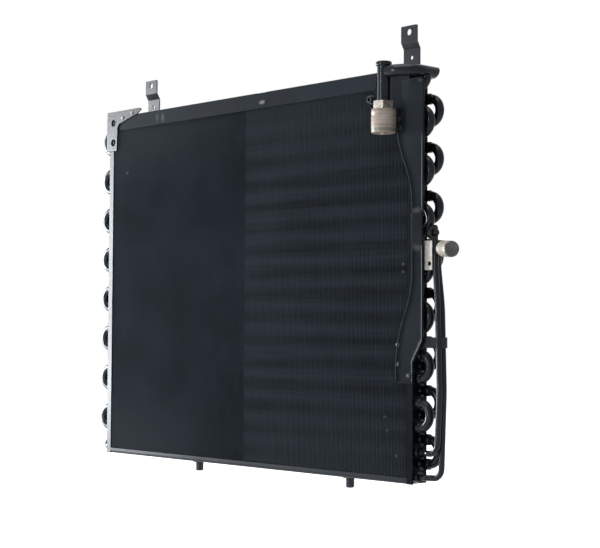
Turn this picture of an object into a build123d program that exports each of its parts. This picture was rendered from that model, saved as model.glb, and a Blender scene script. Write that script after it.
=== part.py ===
from build123d import *
import os
from math import cos, radians, sin

# Air conditioning condenser for a car: a tube-and-fin heat exchanger, painted black.
# Two staggered rows of copper tubes run along X through a block of thin vertical fins.
# Hairpin tubes turn round at the left, and return bends join them at the right.
# X runs towards the connections, Y to the back and Z up. All sizes are in millimetres.
# The core is drawn with its front lower left corner at zero, and moved at the end so
# that the centre of the left ear's hole is the origin.

# Core
TUBE_PITCH = 25.4
TUBES_PER_ROW = 17
TUBE_R = 4.76
CORE_WIDTH = 522.0
CORE_DEPTH = 28.0
RAIL_T = 1.2
CORE_HEIGHT = TUBES_PER_ROW * TUBE_PITCH + RAIL_T
FRONT_ROW_Y = 7.0
REAR_ROW_Y = 21.0
REAR_TOP_DROP = TUBE_PITCH / 4
FRONT_TOP_DROP = 3 * TUBE_PITCH / 4

# Fin packs
FIN_GROOVES = 52
GROOVE_WIDTH = 2.4
GROOVE_DEPTH = 1.9
PACK_GAP = 0.8

# End plates and rails
PLATE_T = 1.5
END_FLANGE = 6.5
RIGHT_FOLD_TOP = 420.5
TOP_FLANGE = 18.0
BOTTOM_FLANGE = 6.5
NOTCH_X = 290.0
NOTCH_LENGTH = 18.0
NOTCH_DEPTH = 1.6
DIMPLE_Z_DROP = 11.5

# Bends
BEND_R = TUBE_PITCH / 2
BEND_START = 10.5
CUP_DEPTH = 5.0
CUP_R = 5.9
INLET_CUP_END = 7.0

# Ears that the condenser hangs from
EAR_WIDTH = 23.0
EAR_T = 1.6
EAR_HOLE_R = 3.4
EAR_LOWER_HOLE_R = 2.2
EAR_STEP = 4.3
EAR_STEP_RISE = 7.0
EAR_OVERLAP = 13.0
LEFT_EAR_X = 45.5
LEFT_EAR_HOLE_Z = 472.0
RIGHT_EAR_X = 497.5
RIGHT_EAR_HOLE_Z = 477.5
EAR_TOP_ABOVE_HOLE = 7.0
EAR_STEP_BELOW_HOLE = 10.5
EAR_LOWER_HOLE_DROP = 27.0

# Side bracket
BRACKET_T = 1.6
BRACKET_RIM = 1.1
BRACKET_RIM_HEIGHT = 1.5
WELD_NUT_IN = 52.0
WELD_NUT_Z = 404.5
WELD_NUT_R = 5.0
SADDLE_LOW = 249.0
SADDLE_HIGH = 280.0
SADDLE_SLOPE = 7.0
SADDLE_STEP = 2.0

# Corner bracket
CORNER_HOLE_R = 4.6

# Locating pins
PIN_R = 4.8
PIN_LENGTH = 12.0
PIN_X = (164.5, 423.0)
PIN_FLANGE_R = 8.0
PIN_FLANGE_T = 1.5

# Inlet
MANIFOLD_R = 6.35
MANIFOLD_Z = 428.4
MANIFOLD_BEND = 24.0
MANIFOLD_OUT = 14.3
MANIFOLD_END_Y = 25.9
MANIFOLD_END_SLANT = 5.0
ELBOW_OUT = 17.5
ELBOW_BEND = 7.8
STEM_R = 7.0
INLET_X_IN = 19.2
INLET_Y = -19.0
INLET_TOP_Z = 439.5
INLET_COLLAR_R = 8.4
INLET_COLLAR_T = 5.0
INLET_NUT_TOP = 397.5
INLET_NUT_BOTTOM = 389.0
INLET_NUT_R = 12.2
INLET_CAP_R = 13.5
INLET_CAP_BOTTOM = 363.3
INLET_THREAD_R = 9.5

# Outlet
OUT_PIPE_R = 3.175
OUT_REAR_Y = 10.1
OUT_FRONT_Y = 3.65
OUT_FRONT_TOP_X = 33.9
OUT_REAR_TOP_X = 31.5
OUT_BOW_X = 39.6
OUT_BOW_Z = 96.0
OUT_HIGH_X = 36.8
OUT_HIGH_Z = 184.0
OUT_TOP_Z = 224.0
OUT_LOW_X = 36.5
BLOCK_IN = 28.4
BLOCK_OUT = 37.4
BLOCK_BACK_Y = 13.9
BLOCK_BOTTOM = 236.5
BLOCK_TOP = 267.5
PIPE_ENTRY = 1.5
CLAMP_OUT = 31.6
CLAMP_BACK_Y = 9.6
CLAMP_BOTTOM = 251.5
OUT_PORT_Z = 243.0
OUT_BOLT_Z = 259.5
OUT_PORT_TURN = -26.0
OUT_PORT_DROP = -4.0
OUT_CAP_R = 8.4
OUT_CAP_START = 6.6
OUT_CAP_LENGTH = 23.5
OUT_PLATE_T = 1.6

RIGHT = CORE_WIDTH
FRONT = -RAIL_T
BACK = CORE_DEPTH + RAIL_T
BRACKET_FRONT = FRONT - BRACKET_T
MIDDLE = CORE_WIDTH / 2
TAB_BACK_Y = FRONT + OUT_PLATE_T
BLOCK_MIDDLE_Y = (TAB_BACK_Y + BLOCK_BACK_Y) / 2
CLAMP_MIDDLE_Y = (TAB_BACK_Y + CLAMP_BACK_Y) / 2


def rear_z(number):
    """Height of a tube in the rear row, counted from the top."""
    return CORE_HEIGHT - REAR_TOP_DROP - (number - 1) * TUBE_PITCH


def front_z(number):
    """Height of a tube in the front row, counted from the top."""
    return CORE_HEIGHT - FRONT_TOP_DROP - (number - 1) * TUBE_PITCH


ROWS = {"rear": (REAR_ROW_Y, rear_z), "front": (FRONT_ROW_Y, front_z)}
TUBES = [(y, height(n)) for y, height in ROWS.values() for n in range(1, TUBES_PER_ROW + 1)]


def block(x0, x1, y0, y1, z0, z1):
    """A box between two corners."""
    size = Box(x1 - x0, y1 - y0, z1 - z0)
    return Pos((x0 + x1) / 2, (y0 + y1) / 2, (z0 + z1) / 2) * size


def rod(start, end, radius):
    """A round bar between two points."""
    axis = Vector(*end) - Vector(*start)
    base = Plane(origin=start, z_dir=axis)
    return extrude(base * Circle(radius), axis.length)


def tube_on(path, radius):
    """A round bar along a path of straight runs and arcs."""
    start = Plane(origin=path @ 0, z_dir=path % 0)
    return sweep(start * Circle(radius), path=path)


def hex_bar(x, y, z0, z1, radius, turn=0.0):
    """An upright hexagonal bar, sized across its corners."""
    sketch = Pos(x, y, z0) * Rot(0, 0, turn) * RegularPolygon(radius, 6)
    return extrude(sketch, z1 - z0, dir=(0, 0, 1))


def plate_from(outline, y_front, thickness):
    """A flat sheet facing -Y, from an outline of (x, z) points."""
    ring = Polyline(*[(x, y_front, z) for x, z in outline], close=True)
    return extrude(make_face(ring), thickness, dir=(0, 1, 0))


def tube_holes(x0, x1):
    """The bores that all tubes need in a plate or fin pack."""
    return [rod((x0, y, z), (x1, y, z), TUBE_R) for y, z in TUBES]


def fin_pack(x0, x1):
    """Half of the fin block, with a groove for each gap between bundles of fins."""
    body = block(x0, x1, 0, CORE_DEPTH, RAIL_T, CORE_HEIGHT - RAIL_T)
    pitch = (x1 - x0) / FIN_GROOVES
    cuts = []
    for number in range(FIN_GROOVES):
        middle = x0 + (number + 0.5) * pitch
        left = middle - GROOVE_WIDTH / 2
        right = middle + GROOVE_WIDTH / 2
        cuts.append(block(left, right, -1, GROOVE_DEPTH, 0, CORE_HEIGHT))
        cuts.append(block(left, right, CORE_DEPTH - GROOVE_DEPTH, CORE_DEPTH + 1, 0, CORE_HEIGHT))
    return body - cuts - tube_holes(x0 - 1, x1 + 1)


def end_plate(x_face, outward, fold_top):
    """A side sheet that all tubes pass through, with its front edge folded outwards."""
    inner = x_face - outward * PLATE_T
    web = block(min(x_face, inner), max(x_face, inner), FRONT, CORE_DEPTH, 0, CORE_HEIGHT)
    tip = x_face + outward * END_FLANGE
    fold = block(min(inner, tip), max(inner, tip), FRONT, FRONT + PLATE_T, 0, fold_top)
    sheet = web + fold
    return sheet - tube_holes(x_face - 2 * PLATE_T, x_face + 2 * PLATE_T)


def rail(web_low, web_high, flange_low, flange_high):
    """A channel that closes the top or the bottom of the fin block."""
    x0 = PLATE_T
    x1 = CORE_WIDTH - PLATE_T
    web = block(x0, x1, FRONT, BACK, web_low, web_high)
    front = block(x0, x1, FRONT, 0, flange_low, flange_high)
    back = block(x0, x1, CORE_DEPTH, BACK, flange_low, flange_high)
    return web + front + back


def top_rail():
    """The upper channel, with the shallow notch and the pressed dimple in its front."""
    body = rail(CORE_HEIGHT - RAIL_T, CORE_HEIGHT, CORE_HEIGHT - TOP_FLANGE, CORE_HEIGHT)
    half = NOTCH_LENGTH / 2
    top = CORE_HEIGHT + 1
    notch = block(NOTCH_X - half, NOTCH_X + half, FRONT - 1, 0, CORE_HEIGHT - NOTCH_DEPTH, top)
    z = CORE_HEIGHT - DIMPLE_Z_DROP
    base = Plane(origin=(NOTCH_X + 2, 0, z), x_dir=(1, 0, 0), z_dir=(0, -1, 0))
    crown = Plane(origin=(NOTCH_X + 2, FRONT - 0.9, z), x_dir=(1, 0, 0), z_dir=(0, -1, 0))
    raised = loft([base * Ellipse(8.0, 3.8), crown * Ellipse(6.0, 2.0)])
    return body - notch + raised


def hairpin(row, number, cup_ends):
    """Two tube lengths and the bend between them at the left, with belled right ends."""
    y, height = ROWS[row]
    upper = height(number)
    lower = height(number + 1)
    ends = []
    for z, cup_end in zip((upper, lower), cup_ends):
        ends.append(RIGHT + cup_end - CUP_DEPTH if cup_end else RIGHT + MANIFOLD_OUT - 4.0)
    x_turn = -BEND_START
    top = Line((ends[0], y, upper), (x_turn, y, upper))
    arc = ThreePointArc(
        (x_turn, y, upper), (x_turn - BEND_R, y, (upper + lower) / 2), (x_turn, y, lower))
    bottom = Line((x_turn, y, lower), (ends[1], y, lower))
    pipe = tube_on(Wire([top, arc, bottom]), TUBE_R)
    for z, x_end, cup_end in zip((upper, lower), ends, cup_ends):
        if cup_end:
            pipe += cup(x_end, y, z)
    return pipe


def cup(x_start, y, z):
    """The belled end of a tube, which a return bend is brazed into."""
    outside = rod((x_start - 1, y, z), (x_start + CUP_DEPTH, y, z), CUP_R)
    inside = rod((x_start, y, z), (x_start + CUP_DEPTH + 1, y, z), TUBE_R)
    neck = rod((x_start - 2, y, z), (x_start, y, z), TUBE_R)
    return outside - inside + neck


def crossover():
    """The bottom tubes of both rows, joined by a slanting bend at the left."""
    rear = Vector(0, REAR_ROW_Y, rear_z(TUBES_PER_ROW))
    front = Vector(0, FRONT_ROW_Y, front_z(TUBES_PER_ROW))
    rear_start = RIGHT + BEND_START - CUP_DEPTH
    middle = (rear + front) * 0.5
    reach = (rear - front).length / 2
    turn = Vector(-BEND_START, 0, 0)
    first = Line(rear + Vector(rear_start, 0, 0), rear + turn)
    arc = ThreePointArc(rear + turn, middle + turn + Vector(-reach, 0, 0), front + turn)
    last = Line(front + turn, front + Vector(rear_start, 0, 0))
    pipe = tube_on(Wire([first, arc, last]), TUBE_R)
    pipe += cup(rear_start, REAR_ROW_Y, rear.Z)
    pipe += cup(rear_start, FRONT_ROW_Y, front.Z)
    return pipe


def return_bend(row, number):
    """A U bend at the right, brazed into the belled ends of two tubes."""
    y, height = ROWS[row]
    upper = height(number)
    lower = height(number + 1)
    x_start = RIGHT + BEND_START - CUP_DEPTH
    x_turn = RIGHT + BEND_START
    top = Line((x_start, y, upper), (x_turn, y, upper))
    arc = ThreePointArc(
        (x_turn, y, upper), (x_turn + BEND_R, y, (upper + lower) / 2), (x_turn, y, lower))
    bottom = Line((x_turn, y, lower), (x_start, y, lower))
    return tube_on(Wire([top, arc, bottom]), TUBE_R)


def ear(x, hole_z):
    """A joggled strap on the back of the top rail, with a bolt hole near its top."""
    lower_y = BACK
    upper_y = BACK - EAR_STEP
    step_top = hole_z - EAR_STEP_BELOW_HOLE
    step_low = step_top - EAR_STEP_RISE
    top = hole_z + EAR_TOP_ABOVE_HOLE
    side = [
        (lower_y, CORE_HEIGHT - EAR_OVERLAP), (lower_y, step_low), (upper_y, step_top),
        (upper_y, top), (upper_y + EAR_T, top), (upper_y + EAR_T, step_top),
        (lower_y + EAR_T, step_low), (lower_y + EAR_T, CORE_HEIGHT - EAR_OVERLAP)]
    ring = Polyline(*[(x - EAR_WIDTH / 2, y, z) for y, z in side], close=True)
    strap = extrude(make_face(ring), EAR_WIDTH, dir=(1, 0, 0))
    corners = strap.edges().filter_by(Axis.Y).group_by(Axis.Z)[-1]
    strap = fillet(corners, 1.5)
    upper = rod((x, upper_y - 1, hole_z), (x, upper_y + EAR_T + 1, hole_z), EAR_HOLE_R)
    low_z = hole_z - EAR_LOWER_HOLE_DROP
    lower = rod((x, lower_y - 1, low_z), (x, lower_y + EAR_T + 1, low_z), EAR_LOWER_HOLE_R)
    return strap - upper - lower


def bracket_outline():
    """The face of the side bracket, whose inner edge runs in two bulges."""
    y = FRONT
    r = RIGHT

    def at(x, z):
        return (r + x, y, z)

    edges = [
        Line(at(-54, 397), at(-46, 391)),
        Line(at(-46, 391), at(-16, 391)),
        ThreePointArc(at(-16, 391), at(-13, 361), at(-4, 334)),
        ThreePointArc(at(-4, 334), at(4, 313), at(7.5, 290)),
        Line(at(7.5, 290), at(7.5, 215)),
        ThreePointArc(at(7.5, 215), at(4.5, 196), at(-3, 175)),
        ThreePointArc(at(-3, 175), at(-11.6, 149), at(-15, 122)),
        Line(at(-15, 122), at(-15, 106)),
        Line(at(-15, 106), at(-13, 104)),
        Line(at(-13, 104), at(9, 104)),
        Line(at(9, 104), at(9, 126)),
        Line(at(9, 126), at(22.5, 148)),
        Line(at(22.5, 148), at(22.5, 417)),
        Line(at(22.5, 417), at(18.5, 421)),
        Line(at(18.5, 421), at(3, 421)),
        Line(at(3, 421), at(3, 431)),
        Line(at(3, 431), at(-46, 431)),
        Line(at(-46, 431), at(-46, 417)),
        Line(at(-46, 417), at(-54, 412)),
        Line(at(-54, 412), at(-58.5, 407.5)),
        Line(at(-58.5, 407.5), at(-58.5, 401.5)),
        Line(at(-58.5, 401.5), at(-54, 397)),
    ]
    return make_face(Wire(edges))


def side_bracket():
    """A pressed sheet on the right flange, with a raised edge and a raised saddle."""
    face = bracket_outline()
    deep = extrude(face, 12, dir=(0, -1, 0))
    profile = [
        (FRONT, 95), (FRONT, SADDLE_LOW - SADDLE_SLOPE), (FRONT - SADDLE_STEP, SADDLE_LOW),
        (FRONT - SADDLE_STEP, SADDLE_HIGH), (FRONT, SADDLE_HIGH + SADDLE_SLOPE), (FRONT, 440)]
    front = [(y - BRACKET_T, z) for y, z in reversed(profile)]
    low = RIGHT - 70
    sheet = make_face(Polyline(*[(low, y, z) for y, z in profile + front], close=True))
    formed = extrude(sheet, 110, dir=(1, 0, 0)) & deep
    inset = offset(face, -BRACKET_RIM, kind=Kind.ARC)
    rim = extrude(face, BRACKET_T + BRACKET_RIM_HEIGHT, dir=(0, -1, 0))
    rim -= extrude(inset, BRACKET_T + BRACKET_RIM_HEIGHT, dir=(0, -1, 0))
    window = block(low, RIGHT + 60, FRONT - 20, 1, SADDLE_LOW - SADDLE_SLOPE - 2,
                   SADDLE_HIGH + SADDLE_SLOPE + 2)
    nut_spot = (RIGHT - WELD_NUT_IN, BRACKET_FRONT, WELD_NUT_Z)
    nut_room = rod(nut_spot, (RIGHT - WELD_NUT_IN, FRONT - 12, WELD_NUT_Z), WELD_NUT_R + 0.6)
    return formed + (rim - window - nut_room)


def corner_bracket():
    """A flat gusset over the upper left corner, with two holes in its upright leg."""
    outline = [(-11, 440), (58, 440), (61, 438), (54, 433.5), (14, 423.5), (11, 419),
               (9.5, 389), (-12, 389)]
    sheet = plate_from(outline, BRACKET_FRONT, BRACKET_T)
    for z in (425.2, 399.8):
        sheet -= rod((2.2, BRACKET_FRONT - 1, z), (2.2, FRONT + 1, z), CORNER_HOLE_R)
    return sheet


def rivets(places, y_face):
    """Domed rivet heads on the front of a sheet."""
    heads = []
    for x, z in places:
        head = Pos(x, y_face, z) * Rot(90, 0, 0) * Cylinder(
            2.6, 1.3, align=(Align.CENTER, Align.CENTER, Align.MIN))
        heads.append(fillet(head.edges().sort_by(Axis.Y)[0], 1.0))
    return Compound(children=heads)


def locating_pin(x):
    """A round pin with a welded flange, under the bottom rail."""
    y = CORE_DEPTH / 2
    flange = rod((x, y, 0), (x, y, -PIN_FLANGE_T), PIN_FLANGE_R)
    shank = rod((x, y, 0), (x, y, -PIN_LENGTH), PIN_R)
    shank = chamfer(shank.edges().sort_by(Axis.Z)[0], 1.2)
    return flange + shank


def inlet_manifold():
    """The pipe from the inlet fitting round the corner to both top tubes."""
    x_out = RIGHT + MANIFOLD_OUT
    x_bend = x_out - MANIFOLD_BEND
    y_bend = INLET_Y + MANIFOLD_BEND
    start = RIGHT - INLET_X_IN + STEM_R - 1.5
    z = MANIFOLD_Z
    centre_half = MANIFOLD_BEND * sin(radians(45))
    mid = (x_bend + centre_half, y_bend - centre_half, z)
    path = Wire([
        Line((start, INLET_Y, z), (x_bend, INLET_Y, z)),
        ThreePointArc((x_bend, INLET_Y, z), mid, (x_out, y_bend, z)),
        Line((x_out, y_bend, z), (x_out, MANIFOLD_END_Y, z))])
    pipe = tube_on(path, MANIFOLD_R)
    low_y = MANIFOLD_END_Y - MANIFOLD_END_SLANT
    wedge = [(low_y, z - MANIFOLD_R), (MANIFOLD_END_Y, z + MANIFOLD_R),
             (MANIFOLD_END_Y + 9, z + MANIFOLD_R), (MANIFOLD_END_Y + 9, z - MANIFOLD_R)]
    cut = make_face(Polyline(*[(RIGHT, y, height) for y, height in wedge], close=True))
    pipe -= extrude(cut, 2 * MANIFOLD_BEND, dir=(1, 0, 0))
    pipe -= rod((RIGHT, REAR_ROW_Y, rear_z(1)), (x_out - 4.0, REAR_ROW_Y, rear_z(1)), TUBE_R)
    riser_x = RIGHT + ELBOW_OUT
    riser = (riser_x, FRONT_ROW_Y, z - 4.5)
    return pipe - rod((riser_x, FRONT_ROW_Y, front_z(1)), riser, TUBE_R)


def inlet_elbow():
    """A short elbow from the top front tube up into the manifold."""
    x_out = RIGHT + ELBOW_OUT
    z = front_z(1)
    y = FRONT_ROW_Y
    corner = (x_out, y, z)
    path = FilletPolyline(
        (RIGHT + INLET_CUP_END - CUP_DEPTH, y, z), corner, (x_out, y, MANIFOLD_Z - 4.5),
        radius=ELBOW_BEND)
    return tube_on(path, TUBE_R)


def inlet_fitting():
    """The upright turned fitting with a domed top and a threaded lower end."""
    x = RIGHT - INLET_X_IN
    y = INLET_Y
    base = INLET_NUT_BOTTOM - 17.0
    stem = rod((x, y, INLET_NUT_BOTTOM), (x, y, INLET_TOP_Z - INLET_COLLAR_T), STEM_R)
    collar = rod((x, y, INLET_TOP_Z - INLET_COLLAR_T), (x, y, INLET_TOP_Z), INLET_COLLAR_R)
    collar = fillet(collar.edges(), 1.6)
    thread = rod((x, y, base), (x, y, INLET_NUT_BOTTOM), INLET_THREAD_R)
    thread = chamfer(thread.edges().sort_by(Axis.Z)[0], 1.0)
    body = stem + collar + thread
    body -= rod((x, y, base - 1), (x, y, base + 12), 5.5)
    side = RIGHT - INLET_X_IN + STEM_R - 1.5
    socket = rod((side, y, MANIFOLD_Z), (side + 10, y, MANIFOLD_Z), MANIFOLD_R)
    return body - socket


def inlet_nut():
    """The hexagonal union nut above the cap."""
    x = RIGHT - INLET_X_IN
    nut = hex_bar(x, INLET_Y, INLET_NUT_BOTTOM, INLET_NUT_TOP, INLET_NUT_R, 15)
    cone = Pos(x, INLET_Y, (INLET_NUT_BOTTOM + INLET_NUT_TOP) / 2) * Cylinder(INLET_NUT_R - 0.5, 9)
    nut &= chamfer(cone.edges(), 0.8)
    return nut - rod((x, INLET_Y, 380), (x, INLET_Y, 400), STEM_R)


def inlet_cap():
    """The push-on transport cap, a cup with a ribbed skirt."""
    x = RIGHT - INLET_X_IN
    top = INLET_NUT_BOTTOM
    body = rod((x, INLET_Y, INLET_CAP_BOTTOM), (x, INLET_Y, top), INLET_CAP_R)
    body = fillet(body.edges().sort_by(Axis.Z)[0], 2.2)
    waist = rod((x, INLET_Y, top - 7.5), (x, INLET_Y, top - 6), INLET_CAP_R + 1)
    waist -= rod((x, INLET_Y, top - 8), (x, INLET_Y, top - 5), INLET_CAP_R - 0.6)
    body -= waist
    return body - rod((x, INLET_Y, top - 17.5), (x, INLET_Y, top + 1), INLET_THREAD_R)


def weld_nut():
    """A round nut on the shoulder of the side bracket."""
    x = RIGHT - WELD_NUT_IN
    z = WELD_NUT_Z
    washer = rod((x, BRACKET_FRONT, z), (x, BRACKET_FRONT - 1.6, z), WELD_NUT_R)
    boss = rod((x, BRACKET_FRONT, z), (x, BRACKET_FRONT - 5.0, z), 3.6)
    return washer + boss - rod((x, BRACKET_FRONT, z), (x, BRACKET_FRONT - 6, z), 2.1)


def outlet_pipe(y, low_z, top_x):
    """One of the two thin pipes that rise from the bottom tubes to the outlet block."""
    start = RIGHT + BEND_START - CUP_DEPTH
    path = FilletPolyline(
        (start, FRONT_ROW_Y, low_z), (RIGHT + 16, FRONT_ROW_Y, low_z),
        (RIGHT + 24, y, low_z), (RIGHT + OUT_LOW_X, y, low_z),
        (RIGHT + OUT_BOW_X, y, OUT_BOW_Z), (RIGHT + OUT_HIGH_X, y, OUT_HIGH_Z),
        (RIGHT + top_x, y, OUT_TOP_Z), (RIGHT + top_x, y, BLOCK_BOTTOM + PIPE_ENTRY),
        radius=[6.0, 6.0, 11.0, 220.0, 220.0, 90.0])
    plug = rod((start, FRONT_ROW_Y, low_z), (start + CUP_DEPTH, FRONT_ROW_Y, low_z), TUBE_R)
    return tube_on(path, OUT_PIPE_R) + plug


def outlet_block():
    """The block that joins both thin pipes, and carries the outlet fitting."""
    body = block(RIGHT + BLOCK_IN, RIGHT + BLOCK_OUT, TAB_BACK_Y, BLOCK_BACK_Y, BLOCK_BOTTOM,
                 BLOCK_TOP)
    trim = block(RIGHT + CLAMP_OUT, RIGHT + BLOCK_OUT + 1, TAB_BACK_Y - 1, BLOCK_BACK_Y + 1,
                 CLAMP_BOTTOM, BLOCK_TOP + 1)
    body -= trim
    body -= block(RIGHT + BLOCK_IN - 1, RIGHT + CLAMP_OUT + 1, CLAMP_BACK_Y, BLOCK_BACK_Y + 1,
                  CLAMP_BOTTOM, BLOCK_TOP + 1)
    body = fillet(body.edges().filter_by(Axis.X).group_by(Axis.Z)[-1], 3.5)
    for x, y in ((OUT_FRONT_TOP_X, OUT_FRONT_Y), (OUT_REAR_TOP_X, OUT_REAR_Y)):
        foot = (RIGHT + x, y, BLOCK_BOTTOM - 1)
        body -= rod(foot, (RIGHT + x, y, BLOCK_BOTTOM + PIPE_ENTRY), OUT_PIPE_R)
    return body - bolt_shank() - outlet_fitting()


def outlet_axis():
    """The way the outlet fitting points."""
    turn = radians(OUT_PORT_TURN)
    drop = radians(OUT_PORT_DROP)
    return Vector(cos(turn) * cos(drop), sin(turn) * cos(drop), sin(drop))


def outlet_fitting():
    """The outlet's hexagonal fitting with its threaded nose."""
    foot = Vector(RIGHT + BLOCK_OUT, BLOCK_MIDDLE_Y, OUT_PORT_Z)
    axis = outlet_axis()
    stem = rod(foot - axis * 2.2, foot + axis * 4, 4.9)
    base = Plane(origin=foot + axis * 3.6, z_dir=axis)
    hexagon = extrude(base * RegularPolygon(8.0, 6), 3.0)
    nose = rod(foot + axis * OUT_CAP_START, foot + axis * 21.6, 6.0)
    bore = rod(foot + axis * 12, foot + axis * 23, 3.6)
    return stem + hexagon + nose - bore


def outlet_cap():
    """The transport cap pushed on the outlet fitting."""
    foot = Vector(RIGHT + BLOCK_OUT, BLOCK_MIDDLE_Y, OUT_PORT_Z)
    axis = outlet_axis()
    start = foot + axis * OUT_CAP_START
    end = start + axis * OUT_CAP_LENGTH
    body = rod(start, end, OUT_CAP_R)
    body = fillet(body.edges().sort_by(Axis.X)[-1], 1.4)
    body -= rod(start, start + axis * 15.2, 6.0)
    recess = rod(end - axis, end + axis, OUT_CAP_R - 2.4)
    return body - recess


def bolt_shank():
    """The space that the clamp bolt fills in the outlet block."""
    y = CLAMP_MIDDLE_Y
    return rod((RIGHT + BLOCK_IN - 1, y, OUT_BOLT_Z), (RIGHT + CLAMP_OUT + 1, y, OUT_BOLT_Z), 2.0)


def outlet_bolt():
    """The round-headed bolt through the outlet block."""
    y = CLAMP_MIDDLE_Y
    face = RIGHT + CLAMP_OUT
    head = rod((face, y, OUT_BOLT_Z), (face + 3.4, y, OUT_BOLT_Z), 3.8)
    head = fillet(head.edges().sort_by(Axis.X)[-1], 1.6)
    return head + rod((RIGHT + BLOCK_IN, y, OUT_BOLT_Z), (face, y, OUT_BOLT_Z), 2.0)


def outlet_plate():
    """The plated tab behind the side bracket that the outlet block is fixed to."""
    outline = [(RIGHT + 7.5, 221), (RIGHT + 33, 221), (RIGHT + 33, 251), (RIGHT + 7.5, 251)]
    sheet = plate_from(outline, FRONT, OUT_PLATE_T)
    hole_x = RIGHT + 29.5
    return sheet - rod((hole_x, FRONT - 1, 227.5), (hole_x, 3, 227.5), 2.4)


def pipe_clip():
    """A strap from the side bracket round both thin pipes."""
    z0 = 141.0
    z1 = 152.0
    rise = (z0 + z1) / 2 - OUT_BOW_Z
    x = RIGHT + OUT_BOW_X + (OUT_HIGH_X - OUT_BOW_X) * rise / (OUT_HIGH_Z - OUT_BOW_Z)
    middle_y = (OUT_FRONT_Y + OUT_REAR_Y) / 2
    half = (OUT_REAR_Y - OUT_FRONT_Y) / 2
    inside = OUT_PIPE_R + 0.4
    outside = inside + 1.2

    def loop(radius):
        ring = SlotCenterToCenter(2 * half, 2 * radius, rotation=90)
        return extrude(Pos(x, middle_y, z0) * ring, z1 - z0)

    leaf = block(RIGHT + 12, x, FRONT, middle_y - half - inside, z0, z1)
    return loop(outside) + leaf - loop(inside)


PARTS = {
    "left_fin_pack": fin_pack(PLATE_T, MIDDLE - PACK_GAP / 2),
    "right_fin_pack": fin_pack(MIDDLE + PACK_GAP / 2, CORE_WIDTH - PLATE_T),
    "left_end_plate": end_plate(0.0, -1, CORE_HEIGHT),
    "right_end_plate": end_plate(CORE_WIDTH, 1, RIGHT_FOLD_TOP),
    "top_rail": top_rail(),
    "bottom_rail": rail(0, RAIL_T, 0, BOTTOM_FLANGE),
    "left_ear": ear(LEFT_EAR_X, LEFT_EAR_HOLE_Z),
    "right_ear": ear(RIGHT_EAR_X, RIGHT_EAR_HOLE_Z),
    "corner_bracket": corner_bracket(),
    "corner_rivets": rivets([(22.0, 430.0), (42.0, 434.5)], BRACKET_FRONT),
    "side_bracket": side_bracket(),
    "bracket_rivets": rivets(
        [(RIGHT - 12.5, 380.0), (RIGHT - 11.5, 371.0), (RIGHT - 12.5, 144.0),
         (RIGHT - 12.5, 124.0), (RIGHT + 3.0, 112.0), (RIGHT - 30.0, 425.0)], BRACKET_FRONT),
    "left_locating_pin": locating_pin(PIN_X[0]),
    "right_locating_pin": locating_pin(PIN_X[1]),
    "crossover_tube": crossover(),
    "inlet_manifold": inlet_manifold(),
    "inlet_elbow": inlet_elbow(),
    "inlet_fitting": inlet_fitting(),
    "inlet_nut": inlet_nut(),
    "inlet_cap": inlet_cap(),
    "bracket_weld_nut": weld_nut(),
    "front_outlet_pipe": outlet_pipe(OUT_FRONT_Y, front_z(TUBES_PER_ROW - 1), OUT_FRONT_TOP_X),
    "rear_outlet_pipe": outlet_pipe(OUT_REAR_Y, front_z(TUBES_PER_ROW), OUT_REAR_TOP_X),
    "outlet_block": outlet_block(),
    "outlet_fitting": outlet_fitting(),
    "outlet_cap": outlet_cap(),
    "outlet_bolt": outlet_bolt(),
    "outlet_plate": outlet_plate(),
    "pipe_clip": pipe_clip(),
}
for first in range(1, TUBES_PER_ROW, 2):
    pair = f"{first:02d}_{first + 1:02d}"
    rear_cups = (None if first == 1 else BEND_START, BEND_START)
    front_cups = (INLET_CUP_END if first == 1 else BEND_START, BEND_START)
    PARTS[f"rear_hairpin_{pair}"] = hairpin("rear", first, rear_cups)
    PARTS[f"front_hairpin_{pair}"] = hairpin("front", first, front_cups)
for first in range(2, TUBES_PER_ROW, 2):
    pair = f"{first:02d}_{first + 1:02d}"
    PARTS[f"rear_return_bend_{pair}"] = return_bend("rear", first)
    if first < TUBES_PER_ROW - 2:
        PARTS[f"front_return_bend_{pair}"] = return_bend("front", first)

EAR_MIDDLE_Y = BACK - EAR_STEP + EAR_T / 2
ORIGIN = Pos(-LEFT_EAR_X, -EAR_MIDDLE_Y, -LEFT_EAR_HOLE_Z)

os.makedirs("parts", exist_ok=True)
for name, solid in PARTS.items():
    export_step(ORIGIN * solid, f"parts/{name}.step")
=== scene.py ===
from math import cos, pi, radians, sin

import bmesh
import bpy
import numpy as np
from mathutils import Matrix, Vector


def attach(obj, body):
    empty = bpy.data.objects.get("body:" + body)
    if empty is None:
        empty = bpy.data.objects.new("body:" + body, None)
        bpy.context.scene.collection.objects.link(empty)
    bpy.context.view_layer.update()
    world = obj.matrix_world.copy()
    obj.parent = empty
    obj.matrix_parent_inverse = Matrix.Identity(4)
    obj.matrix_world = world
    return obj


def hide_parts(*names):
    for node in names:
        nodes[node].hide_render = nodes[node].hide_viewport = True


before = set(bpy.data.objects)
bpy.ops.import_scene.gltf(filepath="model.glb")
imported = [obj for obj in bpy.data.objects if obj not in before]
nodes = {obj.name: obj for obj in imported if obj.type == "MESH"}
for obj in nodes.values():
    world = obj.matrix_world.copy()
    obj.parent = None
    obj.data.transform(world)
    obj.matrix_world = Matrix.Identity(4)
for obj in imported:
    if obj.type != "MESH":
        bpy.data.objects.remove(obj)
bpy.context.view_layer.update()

# The camera stands low in front of the connection side and looks slightly up.
# Places below are written in millimetres from the core's front lower left corner,
# and ORIGIN is the centre of the left ear's bolt hole measured from there.
ORIGIN = np.array([45.5, 25.7, 472.0])
yaw, pitch, roll = radians(47.038), radians(2.223), radians(0.371)
ahead = Vector((-sin(yaw) * cos(pitch), cos(yaw) * cos(pitch), sin(pitch)))
level = Vector((cos(yaw), sin(yaw), 0))
rise = level.cross(ahead)
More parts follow.
